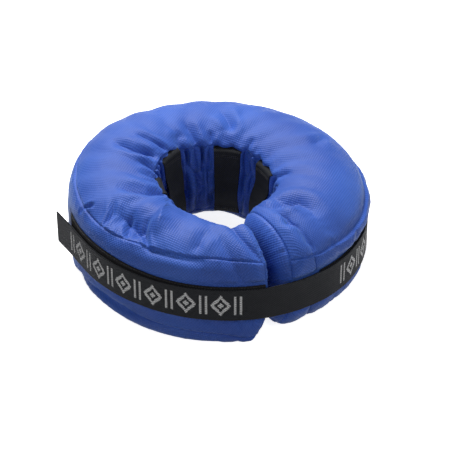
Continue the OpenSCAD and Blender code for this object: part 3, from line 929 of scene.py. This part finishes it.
def threads(name, rows, slot, body, material, pitch=3.0 * MM):
    """Rows of stitches: each row is a line of points with the direction out of the cloth at each."""
    gap, thick = 0.7 * MM, 0.32 * MM
    verts, faces = [], []
    for line, out in rows:
        d = distances(line)
        count = max(1, int(d[-1] / pitch))
        step = d[-1] / count
        for i in range(count):
            t = i * step + gap / 2 + (step - gap) * np.array([0, 0.18, 0.5, 0.82, 1])
            c, n = (np.stack([np.interp(t, d, v[:, j]) for j in range(3)], -1) for v in (line, out))
            n = unit(n)
            c = c + n * (np.array([-0.35, 0.15, 0.22, 0.15, -0.35]) * MM)[:, None]
            wire(verts, faces, c, unit(np.cross(unit(c[-1] - c[0]), n)), n, thick, 5)
    settle(outward(mesh_object(name, verts, faces, material)), slot, body)


def neck_loops(grids, webbing, thread):
    """Webbing from the rim seam to the floor seam, standing off the gathered neck wall."""
    G, turns, _ = grids["neck_wall"]
    stitches = {"left": [], "right": []}
    width = math.radians(LOOP_ANGLE) * NECK_R
    t = np.linspace(0, 1, 41)
    bow = LOOP_BOW * np.sin(np.pi * np.clip((t - 0.08) / 0.84, 0, 1)) ** 0.8
    flat = np.sin(np.pi * t) ** 0.5 * 0.7     # the free middle is nearly flat across
    for node, az in LOOP_DIRECTIONS.items():
        body = node.split("_")[0]
        low, high = np.searchsorted(turns, (270 - az - LOOP_ANGLE / 2, 270 - az + LOOP_ANGLE / 2))
        near = G[low:high + 1]
        r_cloth, z_cloth = ring_radius(near), near[..., 2]
        (top_r, foot_r), (top_z, foot_z) = (v[:, [0, -1]].mean(0) for v in (r_cloth, z_cloth))
        z = top_z + (foot_z - top_z) * t
        clear = np.array([r_cloth[np.abs(z_cloth - h) < 3 * MM].min() for h in z]) - 0.9 * MM
        r = curve_smooth(np.minimum(NECK_R + 1.0 * MM - bow, clear))
        r[0], z[0] = top_r + 1.6 * MM, top_z + 0.4 * MM
        r[-1], z[-1] = foot_r + 1.6 * MM, foot_z - 0.2 * MM
        path = np.c_[r, z]
        way = unit(np.gradient(path, axis=0))
        normal = np.c_[way[:, 1], -way[:, 0]]     # towards the axis
        out_, side = out_and_round(az)

        def place(k, across, out):
            rho, d = path[k, 0] + normal[k, 0] * out, across / NECK_R
            radial = rho * (np.cos(d) + (1 - np.cos(d)) * flat[k])
            return (out_ * radial[:, None] + side * (rho * np.sin(d))[:, None]
                    + UP * (path[k, 1] + normal[k, 1] * out)[:, None])

        piece = ribbon(f"{node}_webbing", place, distances(path), width, LOOP_T, webbing, 18)
        settle(piece, "loop_webbing", body, node)
        span = np.linspace(-width / 2 + 2 * MM, width / 2 - 2 * MM, 12)
        for k in (3, 4, 36, 37):
            out = np.tile(out_ * normal[k, 0] + UP * normal[k, 1], (12, 1))
            stitches[body].append((place(k, span, np.full(12, LOOP_T / 2)), out))
    for body, rows in stitches.items():
        threads(f"{body}_loop_stitches", rows, "loop_webbing", body, thread, pitch=2.2 * MM)


def curve_smooth(v):
    for _ in range(4):
        v = np.r_[v[0], (v[:-2] + 2 * v[1:-1] + v[2:]) / 4, v[-1]]
    return v


def zip_coils(nylon):
    """The two coils of a nylon zip, as rows of small bent loops that lock between each other."""
    pitch, thick = 1.5 * MM, 0.36 * MM
    bend = np.linspace(0.15, TAU - 0.15, 11)[:, None]
    for node, side in (("zip_upper_coil", 1), ("zip_lower_coil", -1)):
        r_in, r_out = radii(node)
        centre, tall = (r_in + r_out) / 2, (r_out - r_in) / 2
        verts, faces = [], []
        for i in range(int(math.radians(ZIP_TO - ZIP_FROM - 2) * centre / pitch)):
            along_zip = (i + 0.5 * (side < 0) + 0.25) * pitch
            out, way = out_and_round(ZIP_FROM + 1 + math.degrees(along_zip / centre))
            reach = (0.80 - 1.15 * np.cos(bend)) * MM
            c = (out * (centre + np.sin(bend) * (tall - thick)) + UP * (ZIP_Z + side * reach)
                 + way * np.linspace(-0.22, 0.22, 11)[:, None] * MM)
            line = unit(np.gradient(c, axis=0))
            across = unit(np.cross(line, way))
            wire(verts, faces, c, across, np.cross(line, across), thick, 6)
        piece = outward(mesh_object(f"{node}_teeth", verts, faces, nylon))
        settle(piece, "zip_coil", "right", node)


def stitches(thread):
    """Stitches along the pile pad's top edge, both zip tapes, and in a box at the strap's sewn end."""
    az = np.arange(PAD_FROM + 1, PAD_TO - 0.5, 0.5)
    top = on_band(az, pad_lift(az) + STRAP_W / 2 - 1.8 * MM, PAD_OUT - 0.2 * MM)
    threads("pad_stitches", [(top, outwards(az))], "loop_pile", "left", thread)
    out = outwards(np.arange(ZIP_FROM + 0.5, ZIP_TO - 0.4, 0.5))
    rows = [(ZIP_OUT * out + (ZIP_Z + h * MM) * UP, out) for h in (-9.6, -6.2, 6.2, 9.6)]
    threads("zip_stitches", rows, "zip_tape", "right", thread)
    edge, near, far = STRAP_W / 2 - 4 * MM, -4.0, ANCHOR_END - 1.2
    corners = np.array([(near, -edge), (far, -edge), (far, edge), (near, edge), (near, -edge),
                        (far, edge), (near, edge), (far, -edge)])
    rows = []
    for a, b in zip(corners[:-1], corners[1:]):
        az, across = (a + (b - a) * np.linspace(0, 1, 12)[:, None]).T
        rows.append((on_band(az, across, STRAP_OUT + 0.35 * MM), outwards(az)))
    threads("strap_box_stitches", rows, "strap_webbing", "right", thread)


# ---------- materials

class Shader:
    """A material built from nodes, with short calls for the usual ones."""

    def __init__(self, name, colour, roughness, **settings):
        self.material = bpy.data.materials.new(name)
        self.material.use_nodes = True
        self.tree = self.material.node_tree
        self.base = self.tree.nodes["Principled BSDF"]
        for socket, value in {"Base Color": (*colour, 1), "Roughness": roughness, **settings}.items():
            self.put(value, self.base.inputs[socket.replace("_", " ")])

    def put(self, value, socket):
        if isinstance(value, bpy.types.NodeSocket):
            self.tree.links.new(value, socket)
        else:
            socket.default_value = value

    def node(self, kind, inputs, **settings):
        """The outputs of a new node. Its inputs are given by name or by number."""
        node = self.tree.nodes.new("ShaderNode" + kind)
        for name, value in settings.items():
            setattr(node, name, value)
        for socket, value in inputs.items():
            self.put(value, node.inputs[socket])
        return node.outputs

    def math(self, operation, *values):
        return self.node("Math", dict(enumerate(values)), operation=operation)[0]

    def cloth_place(self):
        """Distances along and across the cloth, in metres."""
        split = self.node("SeparateXYZ", {0: self.node("UVMap", {}, uv_map="weave")[0]})
        return split[0], split[1]

    def object_place(self):
        return self.node("TexCoord", {})["Object"]

    def noise(self, scale, detail=2.0, rough=0.5):
        return self.node("TexNoise", {"Vector": self.object_place(), "Scale": scale, "Detail": detail,
                                      "Roughness": rough})["Fac"]

    def mix(self, share, a, b):
        a, b = (c if isinstance(c, bpy.types.NodeSocket) else (*c, 1) for c in (a, b))
        return self.node("Mix", {0: share, 6: a, 7: b}, data_type="RGBA")[2]

    def span(self, value, low, high, to_low=0.0, to_high=1.0):
        return self.node("MapRange", dict(enumerate((value, low, high, to_low, to_high))))[0]

    def waves(self, u, v, pitch_u, pitch_v):
        """Threads that pass over and under each other: 0 to 1."""
        a = self.math("SINE", self.math("MULTIPLY", u, TAU / pitch_u))
        b = self.math("SINE", self.math("MULTIPLY", v, TAU / pitch_v))
        return self.math("MULTIPLY_ADD", self.math("MULTIPLY", a, b), 0.5, 0.5)

    def bump(self, height, distance, strength=1.0, below=None):
        inputs = {"Strength": strength, "Distance": distance, "Height": height}
        if below is not None:
            inputs["Normal"] = below
        normal = self.node("Bump", inputs)[0]
        self.put(normal, self.base.inputs["Normal"])
        return normal

    def colour(self, value):
        self.put(value, self.base.inputs["Base Color"])

    def rough(self, value):
        self.put(value, self.base.inputs["Roughness"])


def cover_material():
    """Royal-blue oxford nylon: a small basket weave with painted shade in its hollows, a soft sheen and
    slight crumpling.
    """
    m = Shader("cover_nylon", (0.035, 0.08, 0.38), 0.5, Sheen_Weight=0.2, Sheen_Roughness=0.45,
               Sheen_Tint=(0.45, 0.72, 1.0, 1.0), Specular_IOR_Level=0.28)
    u, v = m.cloth_place()
    weave = m.waves(u, v, 3.4 * MM, 3.4 * MM)
    broad = m.noise(14, 3.0)
    fibres = m.noise(900, 1.0)
    deep, light = (0.023, 0.079, 0.41), (0.041, 0.130, 0.56)
    shade = m.mix(m.span(broad, 0.3, 0.7), deep, light)
    # painted shade: the colour darkens where the weave is low, in the hollows between its threads
    weave_shaded = m.mix(m.math("MULTIPLY", m.span(weave, 0.75, 0.15), 0.35), shade, (0.012, 0.03, 0.19))
    m.colour(m.mix(m.span(fibres, 0.35, 0.75, 0.0, 0.12), weave_shaded, (0.10, 0.17, 0.55)))
    m.rough(m.span(broad, 0.2, 0.8, 0.48, 0.62))
    crumple = m.bump(m.noise(75, 3.0, 0.6), 1.2 * MM, 0.5)
    m.bump(weave, 0.32 * MM, 1.0, below=crumple)
    return m.material


def webbing_material(name, motif=None):
    """Black polyester webbing with fine cross ribs; the strap also has a woven grey pattern."""
    m = Shader(name, (0.016, 0.017, 0.02), 0.7, Sheen_Weight=0.02, Sheen_Roughness=0.5,
               Sheen_Tint=(0.8, 0.85, 1.0, 1.0), Specular_IOR_Level=0.12)
    u, v = m.cloth_place()
    ribs = m.waves(u, v, 2.6 * MM, 2.4 * MM)
    tone = m.mix(m.span(m.noise(60, 2.0), 0.3, 0.7), (0.005, 0.0055, 0.007), (0.010, 0.011, 0.013))
    colour = m.mix(m.math("MULTIPLY", m.span(ribs, 0.2, 0.9), 0.8), tone, (0.030, 0.032, 0.038))
    if motif is not None:
        mask = motif(m, u, v)
        stitches = m.waves(u, v, 4 * MOTIF_CELL, 2 * MOTIF_CELL)
        thread = m.mix(m.span(stitches, 0.15, 0.6), (0.30, 0.30, 0.33), (1.0, 1.0, 1.0))
        colour = m.mix(mask, colour, thread)
    m.colour(colour)
    m.bump(ribs, 0.3 * MM, 1.0)
    return m.material


MOTIF_CELL = 1.15 * MM
MOTIF_PERIOD = 30 * MOTIF_CELL


def woven_motif(stretches):
    """A plain geometric border: a diamond ring with a block in it, then a pair of bars, over and over.

    Each stretch is given by where it starts and how many diamonds it holds.
    """
    def mask(m, u, v):
        y = m.math("ABSOLUTE", m.math("ADD", m.math("SNAP", v, MOTIF_CELL), MOTIF_CELL / 2))
        total = None
        for start, count in stretches:
            cell_u = m.math("SNAP", m.math("SUBTRACT", u, start - MOTIF_PERIOD / 2), MOTIF_CELL)
            x = m.math("PINGPONG", cell_u, MOTIF_PERIOD / 2)     # 0 at the pair of bars, most at a diamond
            to_middle = m.math("SUBTRACT", MOTIF_PERIOD / 2, x)
            size = m.math("ADD", m.math("DIVIDE", x, 10.5 * MM), m.math("DIVIDE", y, 12.5 * MM))
            ring = m.math("MULTIPLY", m.math("LESS_THAN", size, 1.0), m.math("GREATER_THAN", size, 0.62))
            block = m.math("LESS_THAN", size, 0.30)
            near_bar = m.math("ABSOLUTE", m.math("SUBTRACT", to_middle, 2.8 * MM))
            bar = m.math("MULTIPLY", m.math("LESS_THAN", near_bar, 1.5 * MM), m.math("LESS_THAN", y, 12 * MM))
            shape = m.math("MAXIMUM", m.math("MAXIMUM", ring, block), bar)
            far = m.math("SUBTRACT", u, start)
            margin = 5 * MM
            here = m.math("MULTIPLY", m.math("GREATER_THAN", far, -margin),
                          m.math("LESS_THAN", far, count * MOTIF_PERIOD + margin))
            part = m.math("MULTIPLY", shape, here)
            total = part if total is None else m.math("MAXIMUM", total, part)
        return total
    return mask


def pile_material():
    m = Shader("loop_pile", (0.012, 0.012, 0.014), 0.95, Sheen_Weight=0.06, Sheen_Roughness=0.6,
               Specular_IOR_Level=0.1)
    fuzz = m.noise(1500, 3.0, 0.7)
    m.colour(m.mix(m.span(fuzz, 0.3, 0.7), (0.005, 0.005, 0.006), (0.026, 0.026, 0.03)))
    m.bump(fuzz, 0.5 * MM, 1.0)
    return m.material


def plain_material(name, colour, light, roughness, scale, bump, **settings):
    """A moulded, cast or drawn surface: slight colour variation, uneven gloss and a fine texture."""
    m = Shader(name, colour, roughness, **settings)
    grain = m.noise(scale, 3.0, 0.6)
    m.colour(m.mix(m.span(grain, 0.3, 0.7), colour, light))
    m.rough(m.span(m.noise(scale / 6, 2.0), 0.3, 0.7, roughness * 0.8, min(1.0, roughness * 1.25)))
    m.bump(grain, bump, 0.6)
    return m.material


def tape_material():
    m = Shader("zip_tape", (0.014, 0.015, 0.018), 0.7, Specular_IOR_Level=0.3, Sheen_Weight=0.2)
    x, y, z = m.node("SeparateXYZ", {0: m.object_place()})
    turned = m.math("MULTIPLY", m.math("ARCTAN2", y, x), float(ZIP_R))
    weave = m.waves(m.math("ADD", turned, z), m.math("SUBTRACT", turned, z), 1.6 * MM, 1.6 * MM)
    m.colour(m.mix(weave, (0.008, 0.009, 0.011), (0.035, 0.037, 0.043)))
    m.bump(weave, 0.15 * MM, 1.0)
    return m.material


def floor_material():
    m = Shader("studio_floor", (0.93, 0.93, 0.93), 0.9)
    m.colour(m.mix(m.noise(2.0), (0.90, 0.90, 0.90), (0.92, 0.92, 0.92)))
    m.base.inputs["Emission Color"].default_value = (1, 1, 1, 1)
    m.base.inputs["Emission Strength"].default_value = 0.85     # a light table
    return m.material


# ---------- camera, light and floor

def studio():
    azimuth, elevation, distance = math.radians(-22), math.radians(36), 2.0
    back = Vector((math.sin(azimuth) * math.cos(elevation), -math.cos(azimuth) * math.cos(elevation),
                   math.sin(elevation)))
    right = Vector((math.cos(azimuth), math.sin(azimuth), 0))
    aim = Vector((0, 0, 30.5 * MM)) + right * 9.6 * MM
    lens = bpy.data.cameras.new("camera")
    lens.lens = 150
    lens.sensor_width = 36
    camera = bpy.data.objects.new("camera", lens)
    camera.location = aim + back * distance
    camera.rotation_euler = back.to_track_quat("Z", "Y").to_euler()
    bpy.context.collection.objects.link(camera)
    bpy.context.scene.camera = camera

    world = bpy.data.worlds.new("studio")
    world.use_nodes = True
    sky = world.node_tree
    split, height = sky.nodes.new("ShaderNodeSeparateXYZ"), sky.nodes.new("ShaderNodeMapRange")
    sky.links.new(sky.nodes.new("ShaderNodeTexCoord").outputs["Generated"], split.inputs[0])
    sky.links.new(split.outputs[2], height.inputs[0])
    for socket, value in zip(height.inputs[1:5], (-0.30, 0.35, 0.30, 1.25)):
        socket.default_value = value
    sky.links.new(height.outputs[0], sky.nodes["Background"].inputs[1])
    bpy.context.scene.world = world
    bpy.context.scene.view_settings.view_transform = "Standard"
    for name, place, size, power in (("key", (0.1, 1.0, 1.45), 0.6, 41), ("left", (-1.2, -1.1, 0.9), 1.2, 9),
                                    ("right", (1.5, -0.9, 0.9), 1.2, 12)):
        lamp = bpy.data.lights.new(name, "AREA")
        lamp.size = size
        lamp.energy = power
        obj = bpy.data.objects.new(name, lamp)
        obj.location = place
        obj.rotation_euler = (Vector(place) - Vector((0, 0, 0.05))).to_track_quat("Z", "Y").to_euler()
        bpy.context.collection.objects.link(obj)
    half = 3.0
    floor = mesh_object("floor", [(-half, -half, 0), (half, -half, 0), (half, half, 0), (-half, half, 0)],
                        [(0, 1, 2, 3)], floor_material())
    floor.visible_diffuse = False      # the studio is black below the table, so the sides stay in shade


# ---------- the object

def strap_motif(path):
    """The strap's woven pattern, in front and at the left."""
    _, _, s, first_over = path
    r = STRAP_IN + STRAP_T / 2
    return woven_motif([(s[first_over] + math.radians(ANCHOR_END - az) * r, count)
                        for az, count in ((-8, 4), (-104, 6))])


def main():
    X = lean_split(ironed(cloth()))
    blue = cover_material()
    thread = plain_material("black_thread", (0.02, 0.02, 0.022), (0.05, 0.05, 0.055), 0.6, 900, 0.05 * MM)
    loops_black = webbing_material("loop_webbing")
    grids = panel_grids(X)
    cover(grids, blue)
    end_panels(X, grids, blue)
    port_binding(blue)
    bladder(X, plain_material("bladder_vinyl", (0.55, 0.66, 0.74), (0.62, 0.72, 0.78), 0.25, 60, 0.3 * MM))
    path = strap_path()
    strap(path, webbing_material("strap_webbing", strap_motif(path)))
    pad(pile_material())
    nylon = plain_material("black_nylon", (0.012, 0.012, 0.014), (0.022, 0.022, 0.026), 0.4, 400, 0.05 * MM)
    hook_tape(nylon)
    neck_loops(grids, loops_black, thread)
    zip_coils(nylon)
    stitches(thread)

    vinyl = plain_material("valve_vinyl", (0.70, 0.74, 0.78), (0.80, 0.83, 0.86), 0.3, 120, 0.1 * MM,
                           Subsurface_Weight=0.15, Subsurface_Scale=0.003)
    metal = plain_material("zip_metal", (0.10, 0.10, 0.11), (0.20, 0.20, 0.21), 0.35, 300, 0.04 * MM,
                           Metallic=0.9)
    tape = tape_material()
    looks = {"valve": vinyl, "check_flap": vinyl, "zip_slider": metal, "zip_pull": metal,
             "zip_end_stops": metal, "zip_upper_tape": tape, "zip_lower_tape": tape}
    for node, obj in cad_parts.items():
        for start, material in looks.items():
            if node.startswith(start):
                obj.data.materials.clear()
                obj.data.materials.append(material)
    studio()


main()
